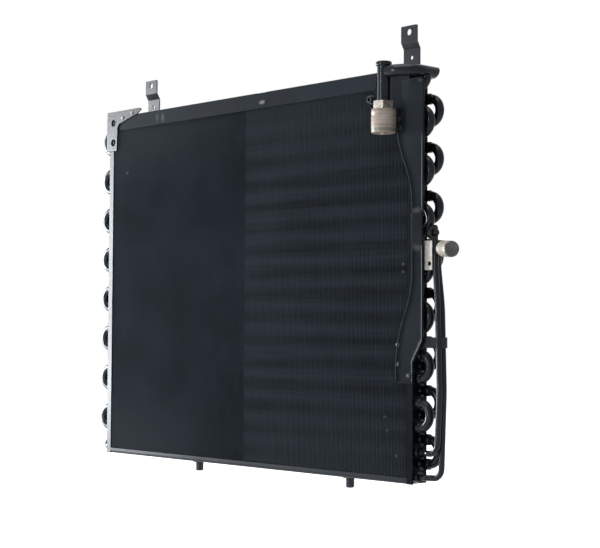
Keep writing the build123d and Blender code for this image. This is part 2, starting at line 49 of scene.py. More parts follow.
side = cos(roll) * level + sin(roll) * rise
head = -sin(roll) * level + cos(roll) * rise
camera = bpy.data.objects.new("camera", bpy.data.cameras.new("camera"))
SENSOR, FOCAL_PIXELS, PICTURE_PIXELS = 36.0, 1495.4, 600
camera.data.sensor_width = SENSOR
camera.data.lens = FOCAL_PIXELS / PICTURE_PIXELS * SENSOR
EYE = np.array([1580.2, -1140.1, 156.5])
place = Vector((EYE - ORIGIN) / 1000)
camera.matrix_world = Matrix.Translation(place) @ Matrix((side, head, -ahead)).transposed().to_4x4()
camera.data.clip_end = 30
bpy.context.collection.objects.link(camera)
bpy.context.scene.camera = camera

# The studio is white, with a soft lamp overhead, one far to the left whose reflection lights
# the left flange and slides off the paint to the right, a small one for the flange's foot and
# a narrow one in front that draws lines on the pipes. The floor takes a faint shadow.
world = bpy.data.worlds.new("white_room")
bpy.context.scene.world = world
world.use_nodes = True
sky = world.node_tree
sky.nodes.clear()
seen_white = sky.nodes.new("ShaderNodeBackground")
seen_white.inputs["Color"].default_value = (1, 1, 1, 1)
seen_white.inputs["Strength"].default_value = 1.0
soft_fill = sky.nodes.new("ShaderNodeBackground")
soft_fill.inputs["Color"].default_value = (0.93, 0.96, 1, 1)
soft_fill.inputs["Strength"].default_value = 0.32
ray = sky.nodes.new("ShaderNodeLightPath")
direct = sky.nodes.new("ShaderNodeMath")
direct.operation = "MAXIMUM"
through = sky.nodes.new("ShaderNodeMath")
through.operation = "MAXIMUM"
which = sky.nodes.new("ShaderNodeMixShader")
sky_out = sky.nodes.new("ShaderNodeOutputWorld")
sky.links.new(ray.outputs["Is Camera Ray"], direct.inputs[0])
sky.links.new(ray.outputs["Is Glossy Ray"], direct.inputs[1])
sky.links.new(direct.outputs[0], through.inputs[0])
sky.links.new(ray.outputs["Is Transmission Ray"], through.inputs[1])
sky.links.new(through.outputs[0], which.inputs[0])
sky.links.new(soft_fill.outputs[0], which.inputs[1])
sky.links.new(seen_white.outputs[0], which.inputs[2])
sky.links.new(which.outputs[0], sky_out.inputs["Surface"])

floor_mesh = bpy.data.meshes.new("floor")
reach, FLOOR_Z = 6.0, -42.0
low = (FLOOR_Z - ORIGIN[2]) / 1000
floor_mesh.from_pydata(
    [(-reach, -reach, low), (reach, -reach, low), (reach, reach, low), (-reach, reach, low)],
    [], [(0, 1, 2, 3)])
floor = bpy.data.objects.new("floor", floor_mesh)
bpy.context.collection.objects.link(floor)
floor_paint = bpy.data.materials.new("floor_white")
floor_paint.use_nodes = True
tree = floor_paint.node_tree
tree.nodes.clear()
chalk = tree.nodes.new("ShaderNodeBsdfDiffuse")
chalk.inputs["Color"].default_value = (0.9, 0.9, 0.9, 1)
glow = tree.nodes.new("ShaderNodeEmission")
glow.inputs["Color"].default_value = (1, 1, 1, 1)
GLOW = 0.80
seen = tree.nodes.new("ShaderNodeLightPath")
either = tree.nodes.new("ShaderNodeMath")
either.operation = "MAXIMUM"
each = tree.nodes.new("ShaderNodeMath")
each.operation = "MAXIMUM"
strength = tree.nodes.new("ShaderNodeMath")
strength.operation = "MULTIPLY"
strength.inputs[1].default_value = GLOW
both = tree.nodes.new("ShaderNodeAddShader")
floor_out = tree.nodes.new("ShaderNodeOutputMaterial")
tree.links.new(seen.outputs["Is Camera Ray"], either.inputs[0])
tree.links.new(seen.outputs["Is Glossy Ray"], either.inputs[1])
tree.links.new(either.outputs[0], each.inputs[0])
tree.links.new(seen.outputs["Is Transmission Ray"], each.inputs[1])
tree.links.new(each.outputs[0], strength.inputs[0])
tree.links.new(strength.outputs[0], glow.inputs["Strength"])
tree.links.new(chalk.outputs[0], both.inputs[0])
tree.links.new(glow.outputs[0], both.inputs[1])
tree.links.new(both.outputs[0], floor_out.inputs["Surface"])
floor_mesh.materials.append(floor_paint)


def lamp(name, spot, aim, wide, tall, power):
    """A flat soft lamp at spot, in millimetres from the core's corner, facing aim. It is
    wide by tall metres and gives its power in watts."""
    data = bpy.data.lights.new(name, "AREA")
    data.shape = "RECTANGLE"
    data.size = wide
    data.size_y = tall
    data.energy = power
    thing = bpy.data.objects.new(name, data)
    start = Vector((np.array(spot) - ORIGIN) / 1000)
    end = Vector((np.array(aim) - ORIGIN) / 1000)
    thing.location = start
    thing.rotation_mode = "QUATERNION"
    thing.rotation_quaternion = (end - start).to_track_quat("-Z", "Y")
    bpy.context.collection.objects.link(thing)


lamp("overhead", (500, -500, 2200), (261, 14, 216), 1.6, 1.6, 30)
lamp("front_left", (-1550, -690, 330), (60, 0, 216), 0.62, 0.62, 60)
lamp("low_left", (-400, -285, 20), (40, 0, 5), 0.18, 0.18, 2.0)
lamp("front_strip", (100, -1900, 400), (522, 0, 216), 0.06, 1.0, 17)


# The tubes are copper, 3/8 inch across, bent into hairpins and pushed through the fins from
# the left. Return bends are brazed into their belled ends, and the whole core is then dipped
# or sprayed black, so the paint is a little uneven and thin dust lies on top.
def blend(net, colour, value, low, high, at_low, at_high, tone):
    """Mixes a tone over a colour. The share of the tone goes smoothly from at_low to at_high
    while the value goes from low to high."""
    share = net.nodes.new("ShaderNodeMapRange")
    share.interpolation_type = "SMOOTHSTEP"
    share.inputs["From Min"].default_value = low
    share.inputs["From Max"].default_value = high
    share.inputs["To Min"].default_value = at_low
    share.inputs["To Max"].default_value = at_high
    net.links.new(value, share.inputs["Value"])
    mix = net.nodes.new("ShaderNodeMix")
    mix.data_type = "RGBA"
    mix.inputs["B"].default_value = (*tone, 1)
    net.links.new(share.outputs["Result"], mix.inputs["Factor"])
    net.links.new(colour, mix.inputs["A"])
    return mix.outputs["Result"]


DRIFT_SCALE, PEEL_SCALE, STREAK_SCALE = 14.0, 900.0, 300.0
TONE_LOW, TONE_HIGH, TONE_LIT = 0.75, 1.3, 2.6
DUST, DULL = (0.10, 0.10, 0.10), 0.03
MARK_DEPTH = 16.0


def black_paint(name, colour, rough, specular, dust=0.25, bands=None, marks=(), dull_below=False):
    """Semi-gloss black paint. Its tone drifts with slow noise, fine noise raises the surface
    like orange peel, and faces that look upwards carry a little grey dust. Faces that look
    down lose their sheen where dull_below is set.
    bands = (pitch, top, depth) adds soft level stripes of painted light, cos(2 pi (z - top) /
    pitch) plus noise stretched along x and y, whose lit tone has the share depth. Pitch and top are
    in metres.
    Each of marks = (x, z, half width, half height, amount, tone), in millimetres from the
    core's corner, is a soft oval of that tone, a speck or a patch of painted light, which fades
    MARK_DEPTH behind the core's front."""
    paint = bpy.data.materials.new(name)
    paint.use_nodes = True
    net = paint.node_tree
    shader = net.nodes["Principled BSDF"]
    shader.inputs["Specular IOR Level"].default_value = specular
    shader.inputs["Specular Tint"].default_value = (0.82, 0.91, 1.0, 1)
    shader.inputs["Metallic"].default_value = 0.0
    where = net.nodes.new("ShaderNodeTexCoord")
    drift = net.nodes.new("ShaderNodeTexNoise")
    drift.inputs["Scale"].default_value = DRIFT_SCALE
    drift.inputs["Detail"].default_value = 4.0
    net.links.new(where.outputs["Object"], drift.inputs["Vector"])
    tone = net.nodes.new("ShaderNodeValToRGB")
    tone.color_ramp.elements[0].position = 0.3
    tone.color_ramp.elements[1].position = 0.7
    tone.color_ramp.elements[0].color = (*[c * TONE_LOW for c in colour], 1)
    tone.color_ramp.elements[1].color = (*[c * TONE_HIGH for c in colour], 1)
    net.links.new(drift.outputs["Fac"], tone.inputs["Fac"])
    last = tone.outputs["Color"]
    facing = net.nodes.new("ShaderNodeNewGeometry")
    split = net.nodes.new("ShaderNodeSeparateXYZ")
    net.links.new(facing.outputs["Normal"], split.inputs[0])
    if dull_below:
        sheen = net.nodes.new("ShaderNodeMapRange")
        sheen.inputs["From Min"].default_value = -0.3
        sheen.inputs["From Max"].default_value = -0.1
        sheen.inputs["To Min"].default_value = DULL
        sheen.inputs["To Max"].default_value = specular
        net.links.new(split.outputs["Z"], sheen.inputs["Value"])
        net.links.new(sheen.outputs["Result"], shader.inputs["Specular IOR Level"])
    up = net.nodes.new("ShaderNodeMapRange")
    up.inputs["From Min"].default_value = 0.6
    up.inputs["From Max"].default_value = 1.0
    up.inputs["To Max"].default_value = dust
    net.links.new(split.outputs["Z"], up.inputs["Value"])
    dusty = net.nodes.new("ShaderNodeMix")
    dusty.data_type = "RGBA"
    dusty.inputs["B"].default_value = (*DUST, 1)
    net.links.new(up.outputs["Result"], dusty.inputs["Factor"])
    net.links.new(last, dusty.inputs["A"])
    last = dusty.outputs["Result"]
    if bands:
        pitch_z, top_z, depth = bands
        spread = net.nodes.new("ShaderNodeSeparateXYZ")
        net.links.new(where.outputs["Object"], spread.inputs[0])
        turns = net.nodes.new("ShaderNodeMath")
        turns.operation = "MULTIPLY_ADD"
        turns.inputs[1].default_value = 2 * pi / pitch_z
        turns.inputs[2].default_value = -2 * pi * top_z / pitch_z
        net.links.new(spread.outputs["Z"], turns.inputs[0])
        wave = net.nodes.new("ShaderNodeMath")
        wave.operation = "COSINE"
        net.links.new(turns.outputs[0], wave.inputs[0])
        flat = net.nodes.new("ShaderNodeMapping")
        flat.inputs["Scale"].default_value = (0.02, 0.02, 1.0)
        net.links.new(where.outputs["Object"], flat.inputs["Vector"])
        streak = net.nodes.new("ShaderNodeTexNoise")
        streak.inputs["Scale"].default_value = STREAK_SCALE
        streak.inputs["Detail"].default_value = 2.0
        net.links.new(flat.outputs["Vector"], streak.inputs["Vector"])
        uneven = net.nodes.new("ShaderNodeMath")
        uneven.operation = "MULTIPLY_ADD"
        uneven.inputs[1].default_value = 3.4
        net.links.new(streak.outputs["Fac"], uneven.inputs[0])
        net.links.new(wave.outputs[0], uneven.inputs[2])
        stripe = net.nodes.new("ShaderNodeMapRange")
        stripe.inputs["From Min"].default_value = 0.3
        stripe.inputs["From Max"].default_value = 3.1
        stripe.inputs["To Max"].default_value = depth
        net.links.new(uneven.outputs[0], stripe.inputs["Value"])
        lit = net.nodes.new("ShaderNodeMix")
        lit.data_type = "RGBA"
        lit.inputs["B"].default_value = (*[c * TONE_LIT for c in colour], 1)
        net.links.new(stripe.outputs["Result"], lit.inputs["Factor"])
        net.links.new(last, lit.inputs["A"])
        last = lit.outputs["Result"]
    for mark_x, mark_z, half_x, half_z, amount, light in marks:
        middle = [(mark_x - ORIGIN[0]) / 1000, -ORIGIN[1] / 1000, (mark_z - ORIGIN[2]) / 1000]
        spot = net.nodes.new("ShaderNodeMapping")
        scale = (1000 / half_x, 1000 / MARK_DEPTH, 1000 / half_z)
        spot.inputs["Scale"].default_value = scale
        spot.inputs["Location"].default_value = [-m * k for m, k in zip(middle, scale)]
        net.links.new(where.outputs["Object"], spot.inputs["Vector"])
        away = net.nodes.new("ShaderNodeVectorMath")
        away.operation = "LENGTH"
        net.links.new(spot.outputs["Vector"], away.inputs[0])
        last = blend(net, last, away.outputs["Value"], 0.0, 1.0, amount, 0.0, light)
    net.links.new(last, shader.inputs["Base Color"])
    peel = net.nodes.new("ShaderNodeTexNoise")
    peel.inputs["Scale"].default_value = PEEL_SCALE
    peel.inputs["Detail"].default_value = 2.0
    net.links.new(where.outputs["Object"], peel.inputs["Vector"])
    gloss = net.nodes.new("ShaderNodeMapRange")
    gloss.inputs["To Min"].default_value = rough - 0.06
    gloss.inputs["To Max"].default_value = rough + 0.08
    net.links.new(drift.outputs["Fac"], gloss.inputs["Value"])
    net.links.new(gloss.outputs["Result"], shader.inputs["Roughness"])
    bump = net.nodes.new("ShaderNodeBump")
    bump.inputs["Strength"].default_value = 0.12
    bump.inputs["Distance"].default_value = 0.0003
    net.links.new(peel.outputs["Fac"], bump.inputs["Height"])
    net.links.new(bump.outputs["Normal"], shader.inputs["Normal"])
    return paint


def dress(node, material):
    """Gives a node of the frame its material."""
    mesh = nodes[node].data
    mesh.materials.clear()
    mesh.materials.append(material)


tube_paint = black_paint("tube_black", (0.0058, 0.0070, 0.0088), 0.16, 0.18, dust=0.12)
for name in nodes:
    if "hairpin" in name or "return_bend" in name or name == "crossover_tube":
        dress(name, tube_paint)


def put(name, points, quads, material, smooth=True, weld=True):
    """Makes one piece of the object from points in millimetres and four-cornered faces,
    closes its seams and poles, turns its faces outwards and fixes it to the frame."""
    mesh = bpy.data.meshes.new(name)
    mesh.from_pydata(((points - ORIGIN) / 1000).tolist(), [], quads.tolist())
    if weld:
        work = bmesh.new()
        work.from_mesh(mesh)
        bmesh.ops.remove_doubles(work, verts=work.verts, dist=1e-6)
        bmesh.ops.dissolve_degenerate(work, edges=work.edges, dist=1e-7)
        bmesh.ops.recalc_face_normals(work, faces=work.faces)
        work.to_mesh(mesh)
        work.free()
    mesh.polygons.foreach_set("use_smooth", np.full(len(mesh.polygons), smooth))
    mesh.materials.append(material)
    piece = bpy.data.objects.new(name, mesh)
    bpy.context.collection.objects.link(piece)
    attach(piece, "root")
    return piece


def grid_faces(rows, columns, copies=1):
    """Four-cornered faces of a grid of rows and columns, whose columns close on themselves,
    repeated for each copy of the grid."""
    i = np.arange(rows - 1)[:, None]
    j = np.arange(columns)[None, :]
    k = (j + 1) % columns
    one = np.stack([i * columns + j, i * columns + k, (i + 1) * columns + k,
                    (i + 1) * columns + j], axis=-1).reshape(-1, 4)
    return (one[None] + (np.arange(copies) * rows * columns)[:, None, None]).reshape(-1, 4)


# Braze metal draws up round every joint: a small concave collar where each return bend goes
# into a belled tube end, and the flared hole rims that the tubes pass through on both end
# plates, all under the same paint.
TUBE_PITCH, TUBES = 25.4, 17
CORE_W, CORE_D, CORE_H, RAIL_T = 522.0, 28.0, 433.0, 1.2
row_steps = np.arange(TUBES)
rear = np.stack([np.full(TUBES, 21.0), CORE_H - 6.35 - TUBE_PITCH * row_steps], axis=1)
front = np.stack([np.full(TUBES, 7.0), CORE_H - 19.05 - TUBE_PITCH * row_steps], axis=1)
tubes = np.concatenate([rear, front])


def rings(centres_yz, x_start, profile):
    """Rings round the X direction: for each centre and each (along, radius) of the profile,
    x = start + along, y = yc + radius cos t, z = zc + radius sin t."""
    corners = 20
    angle = np.linspace(0, 2 * pi, corners, endpoint=False)
    along, radius = np.array(profile).T
    shape = (len(centres_yz), len(along), corners)
    x = np.broadcast_to(x_start + along[None, :, None], shape)
    y = centres_yz[:, 0][:, None, None] + radius[None, :, None] * np.cos(angle)
    z = centres_yz[:, 1][:, None, None] + radius[None, :, None] * np.sin(angle)
    points = np.stack([x, y, z], axis=-1).reshape(-1, 3)
    return points, grid_faces(len(along), corners, len(centres_yz))


inlet_rows = np.zeros(len(tubes), bool)
inlet_rows[[0, TUBES]] = True
outlet_rows = np.zeros(len(tubes), bool)
outlet_rows[[2 * TUBES - 2, 2 * TUBES - 1]] = True
belled = tubes[~inlet_rows & ~outlet_rows]
collar = [(-0.5, 5.4), (0.0, 5.95), (0.7, 5.8), (1.4, 5.2), (2.0, 4.9), (2.4, 4.72), (2.0, 4.6),
          (-0.5, 4.6), (-0.5, 5.4)]
points, quads = rings(belled, CORE_W + 10.5, collar)
put("braze_collars", points, quads, tube_paint)
flare = [(0.0, 4.7), (2.6, 4.7), (2.6, 5.05), (1.0, 5.3), (0.35, 6.1), (0.0, 7.0), (0.0, 4.7)]
points, quads = rings(tubes[~inlet_rows], CORE_W, flare)
put("right_hole_rims", points, quads, tube_paint)
points, quads = rings(tubes, 0.0, [(-a, r) for a, r in flare])
put("left_hole_rims", points, quads, tube_paint)

# The fins are thin aluminium sheets, about two millimetres apart, that stand upright across
# the tubes in two packs. Each is rippled from front to back. The right pack's front edges
# are pushed a little sideways at every tube.
FIN_PITCH, FIN_T = 1.99, 0.12
RIPPLE, RIPPLE_PITCH, STEPS = 0.30, 9.3, 8
MARGIN, SET_BACK = 0.4, 0.05


def fins(x_low, x_high, levels, push, sway, seed):
    """For every fin, x = place + ripple sin(2 pi y / 9.3) + push sin(2 pi z / pitch) exp(-y / 5)
    plus a small fixed wander of size sway, with the sheet's thickness to both sides. y runs
    from front to back in steps and z, in levels, from the bottom rail to the top one."""
    count = int(round((x_high - x_low) / FIN_PITCH))
    wander = np.random.default_rng(seed)
    place = np.linspace(x_low + MARGIN, x_high - MARGIN, count)[:, None, None]
    depth = np.linspace(SET_BACK, CORE_D - SET_BACK, STEPS)
    y = np.concatenate([depth, depth[::-1]])[None, None, :]
    side_of = np.concatenate([np.full(STEPS, 0.5), np.full(STEPS, -0.5)])[None, None, :]
    z = np.linspace(RAIL_T, CORE_H - RAIL_T, levels)[None, :, None]
    loose = wander.normal(0, sway, (count, levels, 1)) * np.exp(-y / 6)
    x = place + RIPPLE * np.sin(2 * pi * y / RIPPLE_PITCH) + side_of * FIN_T + loose
    x = x + push * np.sin(2 * pi * (CORE_H - z) / TUBE_PITCH) * np.exp(-y / 5)
    x, y, z = np.broadcast_arrays(x, y, z)
    ring = 2 * STEPS
    walls = grid_faces(levels, ring, count)
    step = np.arange(STEPS - 1)
    cap = np.stack([step, step + 1, ring - 2 - step, ring - 1 - step], axis=1)
    caps = np.concatenate([cap[:, ::-1], cap + (levels - 1) * ring])
    caps = (caps[None] + (np.arange(count) * levels * ring)[:, None, None]).reshape(-1, 4)
    points = np.stack([x, y, z], axis=-1).reshape(-1, 3)
    return np.clip(points, [x_low, 0, 0], [x_high, CORE_D, CORE_H]), np.concatenate([walls, caps])


# The large marks at the top and bottom of each pack are painted light that makes the fins lighter
# towards both rails. The right pack's level stripes at the tube pitch are painted light too.
painted_light = (0.062, 0.074, 0.088)
speck = (0.42, 0.43, 0.44)
left_fin_paint = black_paint(
    "left_fin_black", (0.0260, 0.0360, 0.0490), 0.55, 0.11, dust=0.0,
    marks=[(60, 433, 330, 120, 1.0, painted_light), (40, 0, 300, 110, 0.8, painted_light),
           (29, 359, 2.2, 2.6, 0.8, speck)])
right_fin_paint = black_paint(
    "right_fin_black", (0.0285, 0.0365, 0.0460), 0.55, 0.12, dust=0.0,
    bands=(TUBE_PITCH / 1000, (CORE_H - 19.05 - ORIGIN[2]) / 1000, 0.55),
    marks=[(370, 433, 300, 120, 1.0, painted_light), (420, 0, 280, 120, 0.8, painted_light),
           (513, 228, 2.0, 2.4, 0.9, speck), (513, 220, 2.0, 2.4, 0.9, speck),
           (487, 68, 2.0, 2.4, 0.6, speck), (491, 54, 2.0, 2.4, 0.5, speck),
           (504, 28, 2.2, 2.6, 0.6, speck)])
points, quads = fins(1.5, 260.6, 9, 0.0, 0.05, 11)
left_fins = put("left_fins", points, quads, left_fin_paint, smooth=False, weld=False)
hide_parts("left_fin_pack")
points, quads = fins(261.4, 520.5, 35, 0.25, 0.0, 12)
right_fins = put("right_fins", points, quads, right_fin_paint, smooth=False, weld=False)
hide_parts("right_fin_pack")

# The end plates are folded steel sheet with a flange to the front and the back. The tubes
# pass through them, and they are painted with the core.
left_paint = black_paint("left_plate_black", (0.012, 0.014, 0.017), 0.30, 0.20)
plate_paint = black_paint("plate_black", (0.0048, 0.0062, 0.0084), 0.25, 0.03)
dress("left_end_plate", left_paint)
dress("right_end_plate", plate_paint)

# The top rail is a steel channel over the fins. Its front face has a painted highlight at mid
# width and two pale painted highlights near the left ear.
glint = (0.30, 0.37, 0.44)
rail_paint = black_paint(
    "rail_black", (0.0080, 0.0108, 0.0146), 0.62, 0.03,
    marks=[(292, 421.5, 8, 3.6, 0.42, (0.32, 0.31, 0.32)), (93, 424, 5, 8, 0.08, glint),
           (104, 423, 5, 8, 0.13, glint)])
dress("top_rail", rail_paint)

# The bottom rail is a shallower steel channel that closes the core from below, folded from
# one sheet with rounded folds.


def folded_rail(x_low, x_high, height, fold):
    """A channel whose section is one sheet with rounded folds, the outside an arc
    y = fold - fold cos t, z = fold - fold sin t and the inside an arc about the same centre.
    The half section is mirrored to the back and runs straight from x_low to x_high."""
    turn_of = np.linspace(0, pi / 2, 13)
    outer = np.stack([fold * (1 - np.cos(turn_of)), fold * (1 - np.sin(turn_of))], axis=1)
    small = fold - RAIL_T
    inner = np.stack([fold - small * np.cos(turn_of), fold - small * np.sin(turn_of)], axis=1)
    burr = 0.15
    lip_out = [(burr, height), (0, height - burr)]
    lip_in = [(RAIL_T, height - burr), (RAIL_T - burr, height)]
    half = np.concatenate([lip_out, outer, inner[::-1], lip_in])
    wide = CORE_D + 2 * RAIL_T
    mirrored = half * [-1, 1] + [wide, 0]
    middle = len(half) // 2
    front_out, front_in = half[:middle], half[middle:]
    back_out, back_in = mirrored[:middle][::-1], mirrored[middle:][::-1]
    section = np.concatenate([front_out, back_out, back_in, front_in]) - [RAIL_T, 0]
    count = len(section)
    places = np.array([x_low, x_high])
    x = np.repeat(places, count)
    points = np.column_stack([x, np.tile(section, (2, 1))])
    step = np.arange(count // 2 - 1)
    cap = np.stack([step, step + 1, count - 2 - step, count - 1 - step], axis=1)
    return points, np.concatenate([grid_faces(2, count), cap, cap + count])


channel_paint = black_paint("channel_black", (0.010, 0.013, 0.0165), 0.30, 0.12)
points, quads = folded_rail(1.5, 520.5, 6.5, 3.2)
channel = put("bottom_channel", points, quads, channel_paint, smooth=False)
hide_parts("bottom_rail")

# Two joggled steel straps on the back of the top rail hang the condenser in the car by a
# bolt each. The left one shines towards the camera, but its step, which looks down, doesn't.
sheet_paint = black_paint("sheet_black", (0.012, 0.014, 0.017), 0.30, 0.25)
ear_paint = black_paint("ear_black", (0.012, 0.014, 0.017), 0.30, 0.47, dull_below=True)
dress("left_ear", ear_paint)
dress("right_ear", sheet_paint)

# A steel gusset with two holes stiffens the upper left corner. It is held by two rivets
# whose heads are a dull light grey, a painted reflection as bright as the lamp's sheen on the
# gusset around them.
rivet_reflection_paint = black_paint("rivet_reflection_grey", (0.25, 0.255, 0.265), 0.70, 0.05, dust=0.0)
dress("corner_bracket", sheet_paint)
dress("corner_rivets", rivet_reflection_paint)

# Two turned steel pins, each with a flange, stand under the bottom rail and locate the
# core from below.
for name in ("left_locating_pin", "right_locating_pin"):
    dress(name, sheet_paint)

# The side bracket is pressed from steel sheet with a raised edge and a raised saddle, and is
# riveted to the right end plate and the top rail. Its upper part is painted lighter, painted
# light over the fittings' shade, and painted highlights lie on the saddle's sloped ends.
slope_highlight = (0.075, 0.072, 0.075)
bracket_paint = black_paint(
    "bracket_black", (0.0090, 0.0118, 0.0152), 0.25, 0.03,
    marks=[(522, 400, 60, 80, 0.5, (0.034, 0.040, 0.048)), (536, 283, 12, 5, 0.6, slope_highlight),
           (536, 244, 12, 5, 0.6, slope_highlight)])


def arc_points(first, through, last, count):
    """Points of the circle through three points, by even turns from the first to the last."""
    a, b, c = (np.array(p, float) for p in (first, through, last))
    rows = 2 * np.stack([b - a, c - a])
    centre = np.linalg.solve(rows, [b @ b - a @ a, c @ c - a @ a])
    turn_of = [np.arctan2(*(p - centre)[::-1]) for p in (a, b, c)]
    swept = np.unwrap(turn_of)
    angle = np.linspace(swept[0], swept[2], count)
    radius = np.linalg.norm(a - centre)
    return centre + radius * np.stack([np.cos(angle), np.sin(angle)], axis=1)


def smooth_step(value):
    """3 t^2 - 2 t^3 of the value held between 0 and 1."""
    t = np.clip(value, 0, 1)
    return t * t * (3 - 2 * t)


# The outline is read from its corners, as (x from the core's right side, z).
inner_edge = np.concatenate([
    [(-13, 104), (-15, 106)], arc_points((-15, 122), (-11.6, 149), (-3, 175), 30),
    arc_points((-3, 175), (4.5, 196), (7.5, 215), 24),
    arc_points((7.5, 290), (4, 313), (-4, 334), 24),
    arc_points((-4, 334), (-13, 361), (-16, 391), 34)])
shoulder_edge = np.array([(-46, 391), (-54, 397), (-58.5, 401.5), (-58.5, 407.5), (-54, 412),
                          (-46, 417), (-46, 431)], float)
outer_edge = np.array([(9, 104), (9, 126), (22.5, 148), (22.5, 417), (18.5, 421)], float)
crown_edge = np.array([(3, 421), (3, 431)], float)
around = np.concatenate([inner_edge, shoulder_edge, crown_edge[::-1], outer_edge[::-1],
                         inner_edge[:1]])
run = np.concatenate([[0], np.cumsum(np.linalg.norm(np.diff(around, axis=0), axis=1))])
even = np.linspace(0, run[-1], 2600)
rim_x, rim_z = np.interp(even, run, around[:, 0]), np.interp(even, run, around[:, 1])

EDGE_STEPS = np.array([0, 0.3, 0.7, 1.1, 1.6, 2.3, 3.2])
LIP, LIP_WIDE, LIP_FALL, SHEET_T = 1.5, 1.1, 1.3, 1.6
SADDLE, SADDLE_LOW, SADDLE_HIGH, SADDLE_FALL = 2.0, 242.0, 279.0, 8.0
SHOULDER_Z, CROWN_Z, CROWN_RIGHT = 391.0, 421.0, 3.0
NUT_X, NUT_Z, NUT_R, NUT_FALL = -52.0, 404.5, 5.2, 1.2


def pressed_sheet():
    """Rows of the bracket at rising z, each running from its inner edge to its outer edge and
    back behind. The front stands forward by the lip, 1 - step((d - 1.1) / 1.3) of the distance d
    to the nearest edge, and both faces stand forward over the saddle, which rises and falls
    with a smooth step in z. The lip stops at the saddle and round the nut. Where the outline
    jumps sideways, at the shoulder and under the crown, two rows share one z."""
    z = np.concatenate([
        np.arange(104, 110, 0.4), np.arange(110, 240, 2.0), np.arange(240, 290, 0.8),
        np.arange(290, 388, 2.0), np.arange(388, 391, 0.4), [391.0, 391.0],
        np.arange(391.4, 396, 0.4), np.arange(396, 416, 0.8), np.arange(416, 421, 0.4),
        [421.0, 421.0], np.arange(421.4, 427, 1.0), np.arange(427, 431.1, 0.4)])
    row = np.arange(len(z))
    upper = row > np.argmax(z == SHOULDER_Z)
    capped = row > np.argmax(z == CROWN_Z)
    left = np.where(upper, np.interp(z, shoulder_edge[:, 1], shoulder_edge[:, 0]),
                    np.interp(z, inner_edge[:, 1], inner_edge[:, 0]))
    right = np.where(capped, CROWN_RIGHT, np.interp(z, outer_edge[:, 1], outer_edge[:, 0]))
    wide = (right - left)[:, None]
    share = np.linspace(0, 1, 9)[None, 1:-1]
    middle = EDGE_STEPS[-1] + share * (wide - 2 * EDGE_STEPS[-1])
    across = np.concatenate([np.broadcast_to(EDGE_STEPS, (len(z), len(EDGE_STEPS))), middle,
                             wide - EDGE_STEPS[::-1]], axis=1)
    x = left[:, None] + across
    zz = np.broadcast_to(z[:, None], x.shape)
    gap = np.sqrt(((x[..., None] - rim_x) ** 2 + (zz[..., None] - rim_z) ** 2).min(axis=-1))
    saddle = (smooth_step((zz - SADDLE_LOW) / SADDLE_FALL)
              - smooth_step((zz - SADDLE_HIGH) / SADDLE_FALL))
    lip = LIP * (1 - smooth_step((gap - LIP_WIDE) / LIP_FALL)) * (1 - smooth_step(saddle * 2))
    lip = lip * smooth_step((np.hypot(x - NUT_X, zz - NUT_Z) - NUT_R) / NUT_FALL)
    y_front = -RAIL_T - SHEET_T - lip - SADDLE * saddle
    y_back = -RAIL_T - SADDLE * saddle
    x = np.concatenate([x, x[:, ::-1]], axis=1) + CORE_W
    y = np.concatenate([y_front, y_back[:, ::-1]], axis=1)
    zz = np.concatenate([zz, zz[:, ::-1]], axis=1)
    rows, columns = x.shape
    half = columns // 2
    step = np.arange(half - 1)
    cap = np.stack([step, step + 1, columns - 2 - step, columns - 1 - step], axis=1)
    quads = np.concatenate([grid_faces(rows, columns), cap, cap + (rows - 1) * columns])
    return np.stack([x, y, zz], axis=-1).reshape(-1, 3), quads


points, quads = pressed_sheet()
side_plate = put("side_plate", points, quads, bracket_paint)
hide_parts("side_bracket")

# Steel rivets hold the bracket, and a round nut is welded to its shoulder. Their paint is
# a lighter, glossier black, a painted highlight for the light their heads catch.
highlight_paint = black_paint("highlight_black", (0.018, 0.020, 0.024), 0.25, 0.35)
for name in ("bracket_rivets", "bracket_weld_nut"):
    dress(name, highlight_paint)

# The inlet is a steel pipe that joins both top tubes and runs round the corner of the core to
# an elbow with a turned fitting. They are brazed together and painted with the core.
for name in ("inlet_manifold", "inlet_elbow", "inlet_fitting"):
    dress(name, tube_paint)

# The hexagonal union nut is screwed on the inlet fitting and has a bare, stained surface.
STAIN_SCALE = 220.0


def plated(name, light, dark, rough):
    """Bare or plated metal. Fine noise mixes a light and a dark tone and also varies the
    roughness."""
    metal = bpy.data.materials.new(name)
    metal.use_nodes = True
    net = metal.node_tree
    shader = net.nodes["Principled BSDF"]
    shader.inputs["Metallic"].default_value = 0.8
    where = net.nodes.new("ShaderNodeTexCoord")
    stain = net.nodes.new("ShaderNodeTexNoise")
    stain.inputs["Scale"].default_value = STAIN_SCALE
    stain.inputs["Detail"].default_value = 6.0
    net.links.new(where.outputs["Object"], stain.inputs["Vector"])
    tone = net.nodes.new("ShaderNodeValToRGB")
    tone.color_ramp.elements[0].position = 0.32
    tone.color_ramp.elements[1].position = 0.62
    tone.color_ramp.elements[0].color = (*dark, 1)
    tone.color_ramp.elements[1].color = (*light, 1)
    net.links.new(stain.outputs["Fac"], tone.inputs["Fac"])
    net.links.new(tone.outputs["Color"], shader.inputs["Base Color"])
    gloss = net.nodes.new("ShaderNodeMapRange")
    gloss.inputs["To Min"].default_value = rough - 0.08
    gloss.inputs["To Max"].default_value = rough + 0.1
    net.links.new(stain.outputs["Fac"], gloss.inputs["Value"])
    net.links.new(gloss.outputs["Result"], shader.inputs["Roughness"])
    return metal


nut_metal = plated("nut_metal", (0.13, 0.116, 0.103), (0.036, 0.033, 0.032), 0.28)
dress("inlet_nut", nut_metal)

# The inlet's transport cap is a thin moulded cup of milky plastic with fine grip ribs, pushed
# over the open fitting. The metal inside and old soil show through it as darker bands.


